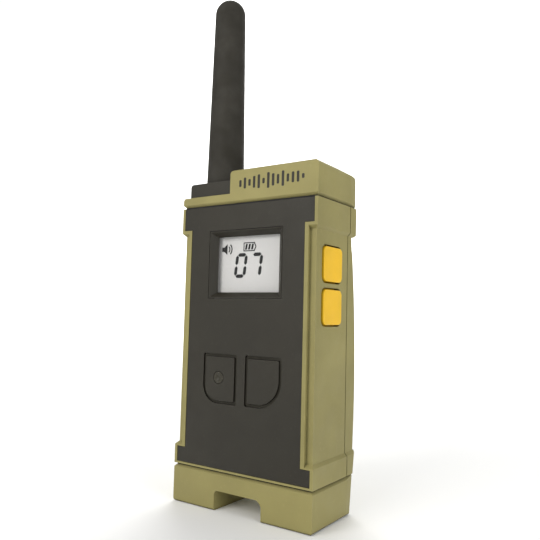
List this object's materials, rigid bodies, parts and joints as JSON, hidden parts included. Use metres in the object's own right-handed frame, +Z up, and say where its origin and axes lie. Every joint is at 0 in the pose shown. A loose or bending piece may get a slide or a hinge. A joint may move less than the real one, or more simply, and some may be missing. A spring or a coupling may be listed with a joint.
{
  "type": "handheld game caller control unit",
  "caption": "Handheld outdoor game caller control unit with a display, two front keys, two side buttons, a short antenna and a battery door.",
  "frame": {"origin": "middle of the footprint, on the underside of the two feet", "axes": "+Z up along the antenna, -Y out of the display face, +X towards the side buttons"},
  "size_m": [0.06, 0.0324, 0.1955],
  "materials": {
    "olive_shell": "lightly textured moulding",
    "dark_plastic": "fine matt texture",
    "marker_plastic": "satin",
    "antenna_rubber": "matt sheath",
    "yellow_plastic": "satin",
    "clear_lens": "polished window",
    "lcd_surface": "grey-green display face",
    "seal_rubber": "matt",
    "white_plastic": "satin",
    "contact_rubber": "matt",
    "circuit_board": "solder mask over glass laminate",
    "shield_metal": "tinned",
    "screw_steel": "plated",
    "brass": "plain",
    "glass_fibre": "plain",
    "copper_wire": "enamelled",
    "cell_jacket": "printed sleeve",
    "black_plastic": "moulded"
  },
  "bodies": {
    "housing": {"front_housing": "olive_shell", "rear_housing": "olive_shell", "case_seal": "seal_rubber", "front_panel": "dark_plastic", "lcd_bezel": "dark_plastic", "lcd_lens": "clear_lens", "lcd_glass": "lcd_surface", "lcd_seal": "seal_rubber", "lcd_backlight": "white_plastic", "lcd_contact_strips": "contact_rubber", "key_switches": "black_plastic", "side_switches": "black_plastic", "side_switch_board": "circuit_board", "side_header": "black_plastic", "main_board": "circuit_board", "radio_shield": "shield_metal", "board_chips": "black_plastic", "sounder": "black_plastic", "board_screws": "screw_steel", "top_cap": "olive_shell", "cap_mark": "dark_plastic", "top_seal": "seal_rubber", "cap_screws": "screw_steel", "antenna_base": "dark_plastic", "antenna_mast": "antenna_rubber", "antenna_core": "glass_fibre", "antenna_coil": "copper_wire", "antenna_stud": "brass", "antenna_nut": "brass", "antenna_lead": "black_plastic", "antenna_socket": "brass", "bottom_cap": "olive_shell", "bottom_seal": "seal_rubber", "base_screws": "screw_steel", "case_screws": "screw_steel", "battery_tray": "black_plastic", "tray_screws": "screw_steel", "battery_cells": "cell_jacket", "battery_springs": "shield_metal", "battery_contacts": "brass", "battery_header": "black_plastic", "door_hinge_pin": "screw_steel", "door_insert": "brass"},
    "left_key": {"left_key": "dark_plastic", "key_marker": "marker_plastic", "left_key_plunger": "white_plastic"},
    "right_key": {"right_key": "dark_plastic", "right_key_plunger": "white_plastic"},
    "upper_side_button": {"upper_side_button": "yellow_plastic", "upper_side_plunger": "white_plastic"},
    "lower_side_button": {"lower_side_button": "yellow_plastic", "lower_side_plunger": "white_plastic"},
    "battery_door": {"battery_door": "olive_shell"},
    "door_screw": {"door_screw": "screw_steel"}
  },
  "joints": [
    {"name": "left_key_press", "type": "slide", "parent": "housing", "child": "left_key", "axis": [0, 1, 0], "range_m": [0, 0.0008], "stiffness_N_per_m": 1500, "springref_m": -0.0003},
    {"name": "right_key_press", "type": "slide", "parent": "housing", "child": "right_key", "axis": [0, 1, 0], "range_m": [0, 0.0008], "stiffness_N_per_m": 1500, "springref_m": -0.0003},
    {"name": "upper_side_button_press", "type": "slide", "parent": "housing", "child": "upper_side_button", "axis": [-1, 0, 0], "range_m": [0, 0.0007], "stiffness_N_per_m": 1500, "springref_m": -0.0003},
    {"name": "lower_side_button_press", "type": "slide", "parent": "housing", "child": "lower_side_button", "axis": [-1, 0, 0], "range_m": [0, 0.0007], "stiffness_N_per_m": 1500, "springref_m": -0.0003},
    {"name": "battery_door_swing", "type": "hinge", "parent": "housing", "child": "battery_door", "pos_m": [0, 0.01315, 0.026], "axis": [-1, 0, 0], "range_deg": [0, 90]},
    {"name": "door_screw_turn", "type": "hinge", "parent": "battery_door", "child": "door_screw", "pos_m": [0, 0.01275, 0.0857], "axis": [0, 1, 0], "range_deg": [0, 90]}
  ]
}
